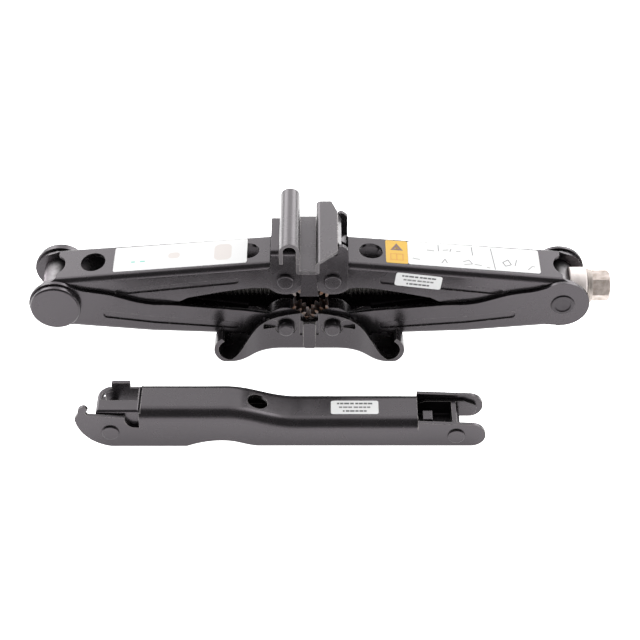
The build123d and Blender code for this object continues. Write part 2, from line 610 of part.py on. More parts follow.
def grip_side():
    """Side view of the grip: hooked fork on the left, raised left part, rounded fork on the right."""
    fork_x = GRIP_RIGHT_X - GRIP_FORK_Z / 2
    end_x = GRIP_WEB_LEFT_X - 1
    return outline(
        Line((end_x, GRIP_HIGH_Z), (GRIP_HIGH_END_X, GRIP_HIGH_Z)),
        Spline((GRIP_HIGH_END_X, GRIP_HIGH_Z), (GRIP_LOW_START_X, GRIP_LOW_Z), tangents=[(1, 0), (1, 0)]),
        Polyline((GRIP_LOW_START_X, GRIP_LOW_Z), (GRIP_WEB_RIGHT_X, GRIP_LOW_Z), (fork_x, GRIP_FORK_Z)),
        ThreePointArc((fork_x, GRIP_FORK_Z), (GRIP_RIGHT_X, GRIP_FORK_Z / 2), (fork_x, 0.4)),
        Line((fork_x, 0.4), (-34, 0.4)),
        Spline((-34, 0.4), (-50, 4.4), (-66, 4.4), (-81, 0), tangents=[(-1, 0.1), (-1, -0.4)]),
        Line((-81, 0), (-131, 0)),
        ThreePointArc((-131, 0), (-147.0, 8.6), (GRIP_LEFT_X, 24.5)),
        Line((GRIP_LEFT_X, 24.5), (-151.0, 29.6)),
        ThreePointArc((-151.0, 29.6), (-149.4, 34.0), (-145.8, 34.6)),
        Polyline((-145.8, 34.6), (-144.4, 32.4), (-146.4, 29.8), (-144.8, 27.2), (-139.6, 26.8),
                 (-120.6, 25.4)),
        ThreePointArc((-120.6, 25.4), (-119.0, 19.0), (-115.2, 16.8)),
        Polyline((-115.2, 16.8), (end_x, 16.8), (end_x, GRIP_HIGH_Z)),
    )


def under_grip():
    """The space under the grip's web and between its walls, with the inside of both long bends."""
    high = GRIP_HIGH_Z - GRIP_SHEET
    low = GRIP_LOW_Z - GRIP_SHEET
    left, right, bottom, top = (-165, 135, -5, 60)
    side = outline(
        Polyline((left, bottom), (left, top), (GRIP_WEB_LEFT_X, top), (GRIP_WEB_LEFT_X, high),
                 (GRIP_HIGH_END_X, high)),
        Spline((GRIP_HIGH_END_X, high), (GRIP_LOW_START_X, low), tangents=[(1, 0), (1, 0)]),
        Polyline((GRIP_LOW_START_X, low), (GRIP_WEB_RIGHT_X, low), (GRIP_WEB_RIGHT_X, top), (right, top),
                 (right, bottom), (left, bottom)),
    )
    space = slab(side, GRIP_MIDDLE_Y - GRIP_INNER_HALF, GRIP_MIDDLE_Y + GRIP_INNER_HALF)
    return round_edges(space, GRIP_BEND - GRIP_SHEET,
                       lambda e: e.length > 40 and low - 1 < e.center().Z < high + 1
                       and abs(abs(e.center().Y - GRIP_MIDDLE_Y) - GRIP_INNER_HALF) < 0.01)


def make_handle_grip():
    """Long channel, web upwards, with a fork at each end."""
    side = grip_side()
    grip = slab(side & Pos(GRIP_WEB_RIGHT_X - 150, 0) * Rectangle(300, 200), GRIP_FRONT_Y, GRIP_BACK_Y)
    grip = round_edges(grip, GRIP_BEND, lambda e: e.length > 40 and e.center().Z > GRIP_LOW_Z - 1
                       and abs(abs(e.center().Y - GRIP_MIDDLE_Y) - GRIP_OUTER_HALF) < 0.01)
    grip -= under_grip()
    fork = side & Pos(GRIP_WEB_RIGHT_X + 50, 0) * Rectangle(100, 200)
    grip += slab(fork, GRIP_FRONT_Y, GRIP_FRONT_Y + GRIP_SHEET)
    grip += slab(fork, GRIP_BACK_Y - GRIP_SHEET, GRIP_BACK_Y)
    grip -= column(Pos(-34, GRIP_MIDDLE_Y) * Circle(6.6), 10, 40)
    grip -= Pos(-136, GRIP_BACK_Y - 1, 36) * Box(44, 6, 40)
    grip -= Pos(GRIP_BACK_WALL_X - 10, GRIP_BACK_Y - 1, 10) * Box(20, 6, 40)
    for x, z in ((SOCKET_RIVET_X, SOCKET_RIVET_Z), (ARM_RIVET_X, ARM_RIVET_Z)):
        grip -= rod_y(x, z, GRIP_RIVET_RADIUS, GRIP_FRONT_Y - 5, GRIP_BACK_Y + 5)
    return grip


def make_handle_socket():
    """Swinging bracket in the left fork; its two cheeks grip the drive hex."""
    inner_half = HEX_ACROSS_FLATS / 2 + 0.2
    outer_half = inner_half + SOCKET_SHEET
    back_y = GRIP_MIDDLE_Y + outer_half
    corner_radius = 12.0
    tab_x = -124.8
    side = make_face(Polyline((SOCKET_LEFT_X, SOCKET_TOP_Z), (SOCKET_RIGHT_X, SOCKET_TOP_Z),
                              (SOCKET_RIGHT_X, 12), (-120.5, 3.4), (-132.5, 3.4), (SOCKET_LEFT_X, 11),
                              close=True))
    side = fillet(side.vertices().filter_by(lambda v: v.Y < 13), 3.0)
    bracket = slab(side, GRIP_MIDDLE_Y - outer_half, back_y)
    bracket = round_edges(bracket, 1.8, lambda e: e.length > 20 and e.center().Z > SOCKET_TOP_Z - 0.1)
    bracket -= Pos(-123, GRIP_MIDDLE_Y, SOCKET_TOP_Z - SOCKET_SHEET - 20) * Box(44, 2 * inner_half, 40)
    tab_outline = Pos(tab_x, SOCKET_TOP_Z + 0.6) * RectangleRounded(12.5, 8, 0.8)
    bracket += slab(tab_outline, GRIP_MIDDLE_Y + inner_half, back_y)
    centre = Pos(SOCKET_LEFT_X + corner_radius, back_y - corner_radius)
    corner = Pos(SOCKET_LEFT_X, back_y) * Rectangle(2 * corner_radius, 2 * corner_radius)
    bracket -= column(corner - centre * Circle(corner_radius), 0, 60)
    opening = Pos(SOCKET_LEFT_X + 15, back_y - 8.6) * Rectangle(24, 11.6)
    beyond_corner = Pos(SOCKET_LEFT_X + corner_radius + 20, back_y - 10) * Rectangle(40, 40)
    opening &= centre * Circle(corner_radius - 2.6) + beyond_corner
    back_cheek = slab(Pos(tab_x, 40) * Rectangle(60, 60), GRIP_MIDDLE_Y + inner_half, back_y)
    bracket -= column(opening, SOCKET_TOP_Z - SOCKET_SHEET - 1, 60) - back_cheek
    return bracket - rod_y(SOCKET_RIVET_X, SOCKET_RIVET_Z, GRIP_RIVET_RADIUS + RUNNING_GAP, -200, 0)


def make_handle_arm():
    """Second length of the crank, a narrower channel folded up inside the grip, open upwards."""
    side = outline(
        Polyline((-52, CRANK_UNDER_WEB_Z), (GRIP_WEB_RIGHT_X + 1, CRANK_UNDER_WEB_Z),
                 (GRIP_WEB_RIGHT_X + 6, CRANK_HIGH_Z), (104, CRANK_HIGH_Z), (111.5, 12.5)),
        ThreePointArc((111.5, 12.5), (112.4, 7.6), (107, CRANK_LOW_Z)),
        Polyline((107, CRANK_LOW_Z), (-46, CRANK_LOW_Z), (-52, 7.6), (-52, CRANK_UNDER_WEB_Z)),
    )
    block = Pos(30, GRIP_MIDDLE_Y, CRANK_LOW_Z + 20) * Box(200, 2 * CRANK_HALF, 40)
    block = round_edges(block, 3.0, lambda e: e.length > 100 and e.center().Z < 5)
    arm = block & slab(side, GRIP_MIDDLE_Y - CRANK_HALF, GRIP_MIDDLE_Y + CRANK_HALF)
    inner_half = CRANK_HALF - CRANK_SHEET
    hollow = Pos(-10, GRIP_MIDDLE_Y, CRANK_LOW_Z + CRANK_SHEET + 20) * Box(210, 2 * inner_half, 40)
    hollow = round_edges(hollow, 1.0, lambda e: e.length > 100 and e.center().Z < 6)
    arm -= hollow + Pos(150, GRIP_MIDDLE_Y, 20) * Box(104, 2 * inner_half, 60)
    stop = Pos(79, GRIP_MIDDLE_Y, 9.0) * Box(7.2, 9.5, 9.4)
    arm += round_edges(stop, 1.0, lambda e: e.center().Z > 13.4)
    return arm - rod_y(ARM_RIVET_X, ARM_RIVET_Z, GRIP_RIVET_RADIUS + RUNNING_GAP, -200, 0)


def make_grip_rivet(x, z):
    """Rivet through the grip's fork, with a low head at each end."""
    rivet = rod_y(x, z, GRIP_RIVET_RADIUS, GRIP_FRONT_Y, GRIP_BACK_Y)
    for low, high, rim in ((GRIP_FRONT_Y - 1.4, GRIP_FRONT_Y, GRIP_FRONT_Y - 1.4),
                           (GRIP_BACK_Y, GRIP_BACK_Y + 1.4, GRIP_BACK_Y + 1.4)):
        head = rod_y(x, z, GRIP_RIVET_HEAD, low, high)
        rivet += round_edges(head, 0.8, lambda e: abs(e.center().Y - rim) < 0.01)
    return rivet


# ======================= all nodes =======================

def make_nodes():
    """Every node of the jack and its crank, by name."""
    ball_x = COLLAR_END - RACE_THICK - BALL_GAP - BALL_RADIUS
    race_start = ball_x - BALL_RADIUS - BALL_GAP - RACE_THICK
    nodes = {
        "base_plate": make_base_plate(),
        "base_pin_left": make_pin(-PIVOT_X, FOOT_PIVOT_Z, BASE_PIN_HEAD),
        "base_pin_right": make_pin(PIVOT_X, FOOT_PIVOT_Z, BASE_PIN_HEAD),
        "head_bracket": make_head_bracket(),
        "saddle_rail": make_saddle_rail(),
        "head_pin_left": make_pin(-PIVOT_X, HEAD_PIVOT_Z, HEAD_PIN_HEAD),
        "head_pin_right": make_pin(PIVOT_X, HEAD_PIVOT_Z, HEAD_PIN_HEAD),
        "nut_trunnion": make_nut_trunnion(),
        "nut_cap_front": make_nut_cap(-1),
        "nut_cap_back": make_nut_cap(1),
        "thrust_trunnion": make_thrust_trunnion(),
        "lead_screw": rod_x(SCREW_LEFT_END, HEX_END - 3.5, SCREW_RADIUS),
        "bearing_collar": make_bearing_collar(),
        "bearing_race_fixed": make_race(race_start, SCREW_RADIUS + 0.4, RACE_RADIUS, RACE_THICK),
        "bearing_balls": make_balls(ball_x),
        "bearing_race_turning": make_race(COLLAR_END - RACE_THICK, SCREW_RADIUS, RACE_RADIUS - 0.1,
                                          RACE_THICK + 0.05),
        "drive_washer_large": make_washer(WASHER_LARGE),
        "drive_washer_small": make_washer(WASHER_SMALL),
        "drive_hex": make_drive_hex(),
        "handle_grip": make_handle_grip(),
        "handle_socket": make_handle_socket(),
        "handle_socket_rivet": make_grip_rivet(SOCKET_RIVET_X, SOCKET_RIVET_Z),
        "handle_arm": make_handle_arm(),
        "handle_arm_rivet": make_grip_rivet(ARM_RIVET_X, ARM_RIVET_Z),
    }
    nodes.update(make_arms())
    return nodes


def main():
    os.makedirs("parts", exist_ok=True)
    for name, solid in make_nodes().items():
        export_step(solid, f"parts/{name}.step")


main()
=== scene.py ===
"""Looks of the scissor jack and its crank handle: paint, worn metal, thread, labels, light and camera."""
import math

import bpy
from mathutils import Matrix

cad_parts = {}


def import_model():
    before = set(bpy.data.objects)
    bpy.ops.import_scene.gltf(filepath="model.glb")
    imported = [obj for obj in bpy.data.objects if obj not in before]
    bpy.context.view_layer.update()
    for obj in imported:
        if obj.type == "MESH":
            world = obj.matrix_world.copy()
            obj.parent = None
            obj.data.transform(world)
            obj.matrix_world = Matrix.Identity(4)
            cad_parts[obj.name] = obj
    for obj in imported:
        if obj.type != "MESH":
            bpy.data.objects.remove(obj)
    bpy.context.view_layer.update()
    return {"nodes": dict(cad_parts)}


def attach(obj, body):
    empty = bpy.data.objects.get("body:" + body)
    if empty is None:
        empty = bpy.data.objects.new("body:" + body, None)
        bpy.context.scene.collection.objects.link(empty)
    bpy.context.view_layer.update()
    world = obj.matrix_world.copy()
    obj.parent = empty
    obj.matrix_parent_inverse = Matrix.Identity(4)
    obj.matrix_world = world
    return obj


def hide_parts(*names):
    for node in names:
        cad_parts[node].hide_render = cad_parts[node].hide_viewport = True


MM = 0.001

# ---- dimensions of the modelled parts that the added pieces sit on, in millimetres ----
PIVOT_X = 16.2
FOOT_PIVOT_Z = 20.9
HEAD_PIVOT_Z = 61.9
TOOTH_ROOT = 14.35          # beyond this radius from its pivot an arm is gear tooth, on the side of the mesh
MESH_SIDE = 3.0             # teeth lie more than this from their pivot's upright, towards the middle
TRUNNION_FACE = 18.0        # beyond this half width the ends of both trunnions are painted
REST_ANGLE = math.radians(7.361)
WEB_AT_ZERO = 12.48         # outside of an upper arm's web above its axis, and its slope
WEB_SLOPE = 0.0367
FLANGE_HALF = 17.2          # outside half width of an upper arm at its head pivot, and its growth
FLANGE_GROWTH = 1.2 / 160
GRIP_TOP_Z = 20.6

SCREW_Z = 41.4
SCREW_CREST = 6.2
SCREW_ROOT = 4.75
SCREW_PITCH = 3.0
SCREW_CORE = SCREW_ROOT - 0.02      # radius of the core, just inside the thread's root
SCREW_PLAIN = SCREW_CREST - 0.05    # radius of the plain end, just inside the thread's crest
SCREW_START_X = -184.0
THREAD_START_X = SCREW_START_X + 0.3
THREAD_END_X = 164.0
RUN_OUT_X = THREAD_END_X - 2.2      # where the core begins to widen to the plain end
SCREW_END_X = 205.5
THREAD_SIDES = 28
THREAD_PROFILE = (          # share of a turn, then the radius there
    (0.0, SCREW_ROOT),
    (0.28, SCREW_CREST),
    (0.50, SCREW_CREST),
    (0.78, SCREW_ROOT),
)

# ---- light levels of the room ----
WORLD_LEVEL = 1.1           # all round, level with the jack
BACK_LEVEL = 2.5            # the panel above the back
HIGH_LEVEL = 1.8            # over that panel
SIDE_LEVEL = 5.2            # the panels to its left and right
FRONT_LEVEL = 0.12          # above the front, which the bends of the sheet reflect
FLOOR_GLOW = 1.65

# ---- the panels' soft edges, along one axis of the unit direction: where each begins and is full ----
UP_EDGE = (0.14, 0.34)
FRONT_EDGE = (-0.30, 0.10)
BACK_EDGE = (0.10, 0.45)
HIGH_EDGE = (0.60, 0.70)
SIDE_EDGE = (0.16, 0.40)

FLOOR_HALF = 3.0            # metres
FLOOR_DROP = 0.2            # millimetres below the jack's foot

# ---- camera, in metres and degrees ----
CAMERA_PLACE = (0.0074, -1.0037, 0.8521)
CAMERA_TILT = 50
CAMERA_LENS = 103.8

# ---- labels, in millimetres ----
LABEL_LIFT = 0.01           # gap under a label
LABEL_THICK = 0.12          # height of its top
PRINT_LIFT = 0.03           # height of the print over that
RULED_LINE = 0.45           # widths of the lines that are drawn on a label
FINE_LINE = 0.55
BOLD_LINE = 0.6
FRAME_LINE = 0.8
STICKER_CORNER = 1.6
ARM_STICKER = (42.5, -0.4, 74.5, 10.8)          # low x, low y, high x and high y on its surface
GRIP_STICKER = (14.6, -109.5, 46.2, -96.5)

# ---- paint ----
PAINT_DARK = (0.010, 0.009, 0.010)
PAINT_LIGHT = (0.017, 0.0155, 0.0165)
RUBBED_DARK = (0.035, 0.033, 0.034)
RUBBED_LIGHT = (0.065, 0.062, 0.063)
WORN_STEEL = (0.34, 0.325, 0.31)
TOOTH_STEEL = (0.15, 0.135, 0.13)
TOOTH_OXIDE = (0.11, 0.055, 0.028)
PAINT_TINT = (1.0, 0.91, 0.98, 1)
PAINT_GLOSS = (0.20, 0.31)  # roughness of its shiniest and its dullest patches
COLLAR_CREAM = (0.90, 0.82, 0.79)
COLLAR_SMUDGE = (0.56, 0.515, 0.49)
PAINT_EDGE = 0.4            # rounding of painted edges, in millimetres
STEEL_EDGE = 0.35           # rounding of bare ones
WEAR_REACH = 0.6            # how far from an edge the paint is rubbed
GRAIN_DEPTH = 0.3           # depth of the fine unevenness


# ======================= materials =======================

def new_material(name, colour, roughness, metallic=0.0):
    """A principled material; returns it with its node tree and shader."""
    material = bpy.data.materials.new(name)
    material.use_nodes = True
    material.diffuse_color = (*colour, 1)
    tree = material.node_tree
    shader = tree.nodes["Principled BSDF"]
    shader.inputs["Base Color"].default_value = (*colour, 1)
    shader.inputs["Roughness"].default_value = roughness
    shader.inputs["Metallic"].default_value = metallic
    return material, tree, shader


def noise(tree, scale, detail=3.0, roughness=0.55):
    """A noise texture in the object's own coordinates."""
    place = tree.nodes.new("ShaderNodeTexCoord")
    texture = tree.nodes.new("ShaderNodeTexNoise")
    texture.inputs["Scale"].default_value = scale
    texture.inputs["Detail"].default_value = detail
    texture.inputs["Roughness"].default_value = roughness
    tree.links.new(place.outputs["Object"], texture.inputs["Vector"])
    return texture.outputs["Fac"]


def remap(tree, value, low, high, to_low, to_high):
    """A value between low and high carried to another range and held inside it."""
    node = tree.nodes.new("ShaderNodeMapRange")
    node.inputs["From Min"].default_value = low
    node.inputs["From Max"].default_value = high
    node.inputs["To Min"].default_value = to_low
    node.inputs["To Max"].default_value = to_high
    tree.links.new(value, node.inputs["Value"])
    return node.outputs["Result"]


def combine(tree, operation, first, second):
    """Two values, or a value and a number, through a maths node."""
    node = tree.nodes.new("ShaderNodeMath")
    node.operation = operation
    tree.links.new(first, node.inputs[0])
    if isinstance(second, (int, float)):
        node.inputs[1].default_value = second
    else:
        tree.links.new(second, node.inputs[1])
    return node.outputs["Value"]


def mix_colour(tree, share, first, second):
    """A colour between two constant colours or colour outputs."""
    node = tree.nodes.new("ShaderNodeMix")
    node.data_type = "RGBA"
    tree.links.new(share, node.inputs["Factor"])
    for socket, colour in (("A", first), ("B", second)):
        target = [s for s in node.inputs if s.name == socket and s.type == "RGBA"][0]
        if isinstance(colour, tuple):
            target.default_value = (*colour, 1)
        else:
            tree.links.new(colour, target)
    return [s for s in node.outputs if s.type == "RGBA"][0]


def rounded_normal(tree, radius):
    """The surface normal with its edges rounded by a small radius."""
    bevel = tree.nodes.new("ShaderNodeBevel")
    bevel.samples = 6
    bevel.inputs["Radius"].default_value = radius
    return bevel.outputs["Normal"]


def edge_mask(tree, radius, low, high):
    """1 on sharp edges and 0 on flats, from how far the rounded normal leans off the true one."""
    geometry = tree.nodes.new("ShaderNodeNewGeometry")
    dot = tree.nodes.new("ShaderNodeVectorMath")
    dot.operation = "DOT_PRODUCT"
    tree.links.new(rounded_normal(tree, radius), dot.inputs[0])
    tree.links.new(geometry.outputs["True Normal"], dot.inputs[1])
    return remap(tree, dot.outputs["Value"], high, low, 0.0, 1.0)


def bump(tree, height, strength, normal):
    """A normal with fine unevenness from a height value."""
    node = tree.nodes.new("ShaderNodeBump")
    node.inputs["Strength"].default_value = strength
    node.inputs["Distance"].default_value = GRAIN_DEPTH * MM
    tree.links.new(height, node.inputs["Height"])
    tree.links.new(normal, node.inputs["Normal"])
    return node.outputs["Normal"]


def object_place(tree):
    """The three coordinates of a point in its object's own frame."""
    place = tree.nodes.new("ShaderNodeTexCoord")
    split = tree.nodes.new("ShaderNodeSeparateXYZ")
    tree.links.new(place.outputs["Object"], split.inputs["Vector"])
    return split.outputs["X"], split.outputs["Y"], split.outputs["Z"]


def tooth_mask(tree, side, pivot_z):
    """1 on the gear teeth of one arm; side is 1 for the right arms and -1 for the left ones."""
    x, _, z = object_place(tree)
    along = combine(tree, "ADD", x, -side * PIVOT_X * MM)
    up = combine(tree, "ADD", z, -pivot_z * MM)
    squares = combine(tree, "ADD", combine(tree, "MULTIPLY", along, along), combine(tree, "MULTIPLY", up, up))
    beyond = combine(tree, "GREATER_THAN", squares, (TOOTH_ROOT * MM) ** 2)
    mesh_side = combine(tree, "LESS_THAN", combine(tree, "MULTIPLY", along, side), -MESH_SIDE * MM)
    return combine(tree, "MULTIPLY", beyond, mesh_side)


def black_paint(name, wear, dark=PAINT_DARK, light=PAINT_LIGHT, tooth=None):
    """Glossy black paint on pressed sheet; wear is how much of the edges is rubbed to bare metal."""
    material, tree, shader = new_material(name, light, 0.26)
    shader.inputs["Specular IOR Level"].default_value = 0.62
    shader.inputs["Specular Tint"].default_value = PAINT_TINT
    gloss = remap(tree, noise(tree, 60, 4), 0.3, 0.7, *PAINT_GLOSS)
    tone = mix_colour(tree, noise(tree, 23, 5), dark, light)
    edges = edge_mask(tree, WEAR_REACH * MM, 0.82, 0.97)
    rub_from = 0.62 - wear * 0.3
    broken = remap(tree, noise(tree, 210, 6, 0.7), rub_from, rub_from + 0.08, 0.0, 1.0)
    worn = combine(tree, "MULTIPLY", edges, broken)
    worn = combine(tree, "MULTIPLY", worn, 0.85)
    colour = mix_colour(tree, worn, tone, WORN_STEEL)
    metal = combine(tree, "MULTIPLY", worn, 0.8)
    if tooth is not None:
        mask = tooth_mask(tree, *tooth)
        rust = remap(tree, noise(tree, 240, 5, 0.65), 0.42, 0.62, 0.0, 1.0)
        colour = mix_colour(tree, mask, colour, mix_colour(tree, rust, TOOTH_STEEL, TOOTH_OXIDE))
        metal = combine(tree, "MAXIMUM", metal, combine(tree, "MULTIPLY", mask, 0.7))
        gloss = combine(tree, "MAXIMUM", gloss, combine(tree, "MULTIPLY", mask, 0.42))
    tree.links.new(colour, shader.inputs["Base Color"])
    tree.links.new(metal, shader.inputs["Metallic"])
    tree.links.new(gloss, shader.inputs["Roughness"])
    peel = bump(tree, noise(tree, 900, 2), 0.08, rounded_normal(tree, PAINT_EDGE * MM))
    tree.links.new(peel, shader.inputs["Normal"])
    return material


def bare_steel(name, colour, roughness, stain, stain_share, metallic=0.9):
    """Bare or plated steel with soft stains."""
    material, tree, shader = new_material(name, colour, roughness, metallic)
    spots = remap(tree, noise(tree, 170, 6, 0.65), 0.56 - stain_share * 0.2, 0.66, 0.0, stain_share)
    dull = remap(tree, noise(tree, 260, 4), 0.3, 0.7, roughness - 0.08, roughness + 0.12)
    grain = bump(tree, noise(tree, 1100, 3), 0.15, rounded_normal(tree, STEEL_EDGE * MM))
    tree.links.new(mix_colour(tree, spots, colour, stain), shader.inputs["Base Color"])
    tree.links.new(dull, shader.inputs["Roughness"])
    tree.links.new(grain, shader.inputs["Normal"])
    return material


def collar_finish():
    """Pale cream dull finish with grey smudges."""
    material, tree, shader = new_material("collar_cream", COLLAR_CREAM, 0.55)
    smudge = remap(tree, noise(tree, 120, 5), 0.5, 0.75, 0.0, 0.6)
    colour = mix_colour(tree, smudge, COLLAR_CREAM, COLLAR_SMUDGE)
    tree.links.new(colour, shader.inputs["Base Color"])
    tree.links.new(rounded_normal(tree, PAINT_EDGE * MM), shader.inputs["Normal"])
    return material


def trunnion_finish():
    """Satin grey steel between the flanges, with the formed ends outside them painted black."""
    material = bare_steel("trunnion_steel", (0.17, 0.165, 0.168), 0.42, (0.09, 0.086, 0.085), 0.6)
    tree = material.node_tree
    shader = tree.nodes["Principled BSDF"]
    shader.inputs["Specular Tint"].default_value = PAINT_TINT
    _, y, _ = object_place(tree)
    outside = combine(tree, "GREATER_THAN", combine(tree, "ABSOLUTE", y, 0.0), TRUNNION_FACE * MM)
    steel = shader.inputs["Base Color"].links[0].from_socket
    tree.links.new(mix_colour(tree, outside, steel, PAINT_DARK), shader.inputs["Base Color"])
    tree.links.new(remap(tree, outside, 0.0, 1.0, 0.9, 0.0), shader.inputs["Metallic"])
    return material


def plain(name, colour, roughness):
    """A plain printed or plastic surface."""
    return new_material(name, colour, roughness)[0]


def make_materials():
    """Every material of the object, by a short name."""
    looks = {
        "paint": black_paint("black_paint", wear=0.25),
        "paint_worn": black_paint("black_paint_worn", wear=0.75),
        "paint_rubbed": black_paint("black_paint_rubbed", wear=0.9, dark=RUBBED_DARK, light=RUBBED_LIGHT),
        "trunnion": trunnion_finish(),
        "screw": bare_steel("screw_steel", (0.06, 0.057, 0.054), 0.45, (0.03, 0.028, 0.026), 0.6),
        "collar": collar_finish(),
        "bearing": bare_steel("bearing_steel", (0.6, 0.6, 0.6), 0.25, (0.4, 0.4, 0.4), 0.2),
        "washer": bare_steel("washer_steel", (0.44, 0.39, 0.36), 0.5, (0.26, 0.23, 0.20), 0.6, 0.45),
        "hex": bare_steel("hex_steel", (0.50, 0.435, 0.405), 0.5, (0.26, 0.215, 0.18), 0.9, 0.35),
        "label_white": plain("label_white", (0.64, 0.64, 0.64), 0.35),
        "label_yellow": plain("label_yellow", (0.60, 0.35, 0.012), 0.38),
        "print_dark": plain("print_dark", (0.16, 0.09, 0.07), 0.5),
        "print_grey": plain("print_grey", (0.08, 0.08, 0.083), 0.5),
        "print_pale": plain("print_pale", (0.17, 0.17, 0.173), 0.5),
        "print_cyan": plain("print_cyan", (0.14, 0.50, 0.42), 0.5),
        "print_pink": plain("print_pink", (0.57, 0.53, 0.51), 0.5),
        "print_amber": plain("print_amber", (0.55, 0.25, 0.02), 0.5),
    }
    for level, pivot_z in (("lower", FOOT_PIVOT_Z), ("upper", HEAD_PIVOT_Z)):
        for name, side in (("left", -1), ("right", 1)):
            paint = black_paint(f"arm_paint_{level}_{name}", wear=0.25, tooth=(side, pivot_z))
            looks[f"arm_{level}_{name}"] = paint
    return looks


NODE_LOOKS = {
    "paint": ["base_pin_left", "base_pin_right", "head_bracket", "head_pin_left", "head_pin_right",
              "nut_cap_front", "nut_cap_back", "handle_socket_rivet", "handle_arm_rivet"],
    "paint_worn": ["base_plate", "handle_grip", "handle_socket", "handle_arm"],
    "paint_rubbed": ["saddle_rail"],
    "arm_lower_left": ["lower_arm_left"],
    "arm_lower_right": ["lower_arm_right"],
    "arm_upper_left": ["upper_arm_left"],
    "arm_upper_right": ["upper_arm_right"],
    "trunnion": ["nut_trunnion", "thrust_trunnion"],
    "screw": ["lead_screw"],
    "collar": ["bearing_collar"],
    "bearing": ["bearing_race_fixed", "bearing_balls", "bearing_race_turning"],
    "washer": ["drive_washer_large", "drive_washer_small"],
    "hex": ["drive_hex"],
}


def paint_nodes(nodes, looks):
    """Give every CAD node its material."""
    for look, names in NODE_LOOKS.items():
        for name in names:
            materials = nodes[name].data.materials
            materials.clear()
            materials.append(looks[look])


# ======================= meshes =======================

def new_object(name, points, faces, materials, indices=None):
    """A mesh object from points in metres, with a material index for each face."""
    mesh = bpy.data.meshes.new(name)
    mesh.from_pydata(points, [], faces)
    for material in materials:
        mesh.materials.append(material)
    if indices is not None:
        mesh.polygons.foreach_set("material_index", indices)
    mesh.update()
    made = bpy.data.objects.new(name, mesh)
    bpy.context.scene.collection.objects.link(made)
    return made


def screw_point(x, radius, angle):
    """A point round the screw's axis."""
    return x * MM, radius * math.cos(angle) * MM, (SCREW_Z + radius * math.sin(angle)) * MM


def screw_ring(x, radius):
    """A ring of points round the screw's axis."""
    return [screw_point(x, radius, 2 * math.pi * step / THREAD_SIDES) for step in range(THREAD_SIDES)]


def add_thread(points, faces):
    """Add the thread: rows that climb one pitch round the screw, each joined to the next row and turn."""
    turns = int((THREAD_END_X - SCREW_START_X) / SCREW_PITCH) - 1
    for turn in range(turns):
        for share, radius in THREAD_PROFILE:
            for step in range(THREAD_SIDES):
                part = step / THREAD_SIDES
                x = THREAD_START_X + SCREW_PITCH * (turn + share + part)
                points.append(screw_point(x, radius, 2 * math.pi * part))
    per_turn = len(THREAD_PROFILE)
    last = turns * per_turn - 1
    for number in range(last):
        for step in range(THREAD_SIDES):
            here = number * THREAD_SIDES + step
            above = here + THREAD_SIDES
            if step < THREAD_SIDES - 1:
                faces.append((here, here + 1, above + 1, above))
            elif number + 1 + per_turn <= last:
                ahead = (number + per_turn) * THREAD_SIDES
                faces.append((here, ahead, ahead + THREAD_SIDES, above))


def add_core(points, faces):
    """Add the core inside the thread, and the plain end that carries the drive."""
    rings = ((SCREW_START_X, SCREW_CORE), (THREAD_END_X + 1, SCREW_CORE), (RUN_OUT_X, SCREW_CORE),
             (THREAD_END_X, SCREW_PLAIN), (SCREW_END_X, SCREW_PLAIN))
    starts = []
    for x, radius in rings:
        starts.append(len(points))
        points.extend(screw_ring(x, radius))
    for first, second in ((0, 1), (2, 3), (3, 4)):
        low, high = starts[first], starts[second]
        for step in range(THREAD_SIDES):
            after = (step + 1) % THREAD_SIDES
            faces.append((low + step, low + after, high + after, high + step))
    faces.append(tuple(starts[0] + step for step in reversed(range(THREAD_SIDES))))
    faces.append(tuple(starts[-1] + step for step in range(THREAD_SIDES)))


def make_lead_screw(looks):
    """Right-handed rolled thread over the working length, then the plain end that carries the drive."""
    points, faces = [], []
    add_thread(points, faces)
    add_core(points, faces)
    screw = new_object("lead_screw_thread", points, faces, [looks["screw"]])
    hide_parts("lead_screw")
    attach(screw, "screw")


# ======================= labels =======================

def on_upper_arm(x, y, z):
    """A point of the right upper arm, from its head pivot, put where the arm is at rest, in metres."""
    world_x = PIVOT_X + x * math.cos(REST_ANGLE) + z * math.sin(REST_ANGLE)
    world_z = HEAD_PIVOT_Z - x * math.sin(REST_ANGLE) + z * math.cos(REST_ANGLE)
    return world_x * MM, y * MM, world_z * MM


def on_upper_web(side):
    """Places (along the arm, across, height above the web) on the left (-1) or right (1) upper arm."""
    def place(x, y, lift):
        right_x, world_y, world_z = on_upper_arm(x, y, WEB_AT_ZERO + WEB_SLOPE * x + lift)
        return side * right_x, world_y, world_z
    return place


def on_upper_flange(x, z, lift):
    """Places (along the arm, up, height off the surface) on the front flange of the right upper arm."""
    return on_upper_arm(x, -(FLANGE_HALF + FLANGE_GROWTH * x + lift), z)


def on_grip_web(x, y, lift):
    """Places on the top of the crank's grip."""
    return x * MM, y * MM, (GRIP_TOP_Z + lift) * MM


def rounded(x_low, y_low, x_high, y_high, radius):
    """Outline of a rectangle with rounded corners."""
    corners = ((x_high - radius, y_low + radius, -90), (x_high - radius, y_high - radius, 0),
               (x_low + radius, y_high - radius, 90), (x_low + radius, y_low + radius, 180))
    points = []
    for x, y, start in corners:
        for step in range(6):
            angle = math.radians(start + 18 * step)
            points.append((x + radius * math.cos(angle), y + radius * math.sin(angle)))
    return points


def bar(x_low, y_low, x_high, y_high):
    """Outline of a plain rectangle."""
    return [(x_low, y_low), (x_high, y_low), (x_high, y_high), (x_low, y_high)]


def stroke(x0, y0, x1, y1, width):
    """Outline of a thin straight line."""
    length = math.hypot(x1 - x0, y1 - y0)
    across = (-(y1 - y0) / length * width / 2, (x1 - x0) / length * width / 2)
    return [(x0 - across[0], y0 - across[1]), (x1 - across[0], y1 - across[1]),
            (x1 + across[0], y1 + across[1]), (x0 + across[0], y0 + across[1])]


